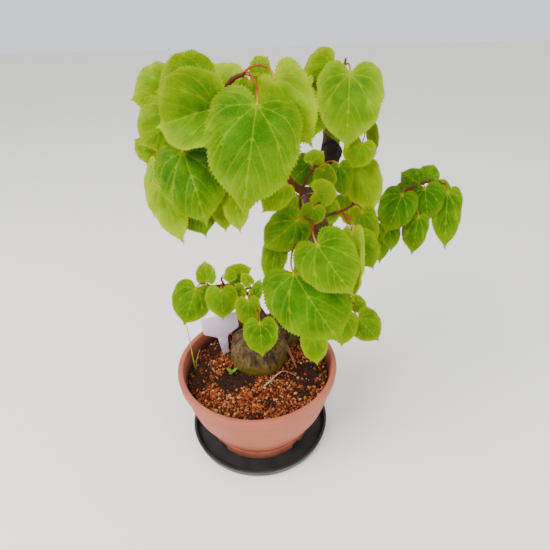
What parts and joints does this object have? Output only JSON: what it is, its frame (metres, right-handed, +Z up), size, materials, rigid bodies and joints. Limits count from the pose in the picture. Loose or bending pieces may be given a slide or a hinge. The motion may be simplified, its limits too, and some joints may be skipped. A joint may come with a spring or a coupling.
{
  "type": "potted bonsai tree",
  "caption": "Small-leaved lime grown as a bonsai, with heart-shaped toothed leaves on red stalks, in a round terracotta-coloured bowl pot on a dark saucer.",
  "frame": {"origin": "centre of the saucer's flat underside, on the table", "axes": "+Z up, +X to the viewer's right in the front view, +Y away from the viewer"},
  "size_m": [0.3003, 0.2268, 0.3938],
  "materials": {
    "saucer": "satin black plastic",
    "pot": "matte terracotta-coloured plastic",
    "soil": "fired clay granules with peat",
    "bark": "rough grey-brown bark",
    "leaf": "thin leaf, slightly glossy",
    "label": "thin pale plastic",
    "grass": "thin grass blade",
    "sprout": "soft seedling",
    "bleached": "dry bleached wood"
  },
  "bodies": {
    "root": {"saucer": "saucer", "pot": "pot", "soil": "soil", "trunk": "bark", "spray_apex": "leaf", "spray_top": "leaf", "spray_front": "leaf", "spray_right": "leaf", "spray_low_left": "leaf", "spray_low_right": "leaf", "spray_back": "leaf", "label": "label", "weed_grass": "grass", "weed_sprout": "sprout", "loose_twig": "bleached"}
  },
  "joints": []
}
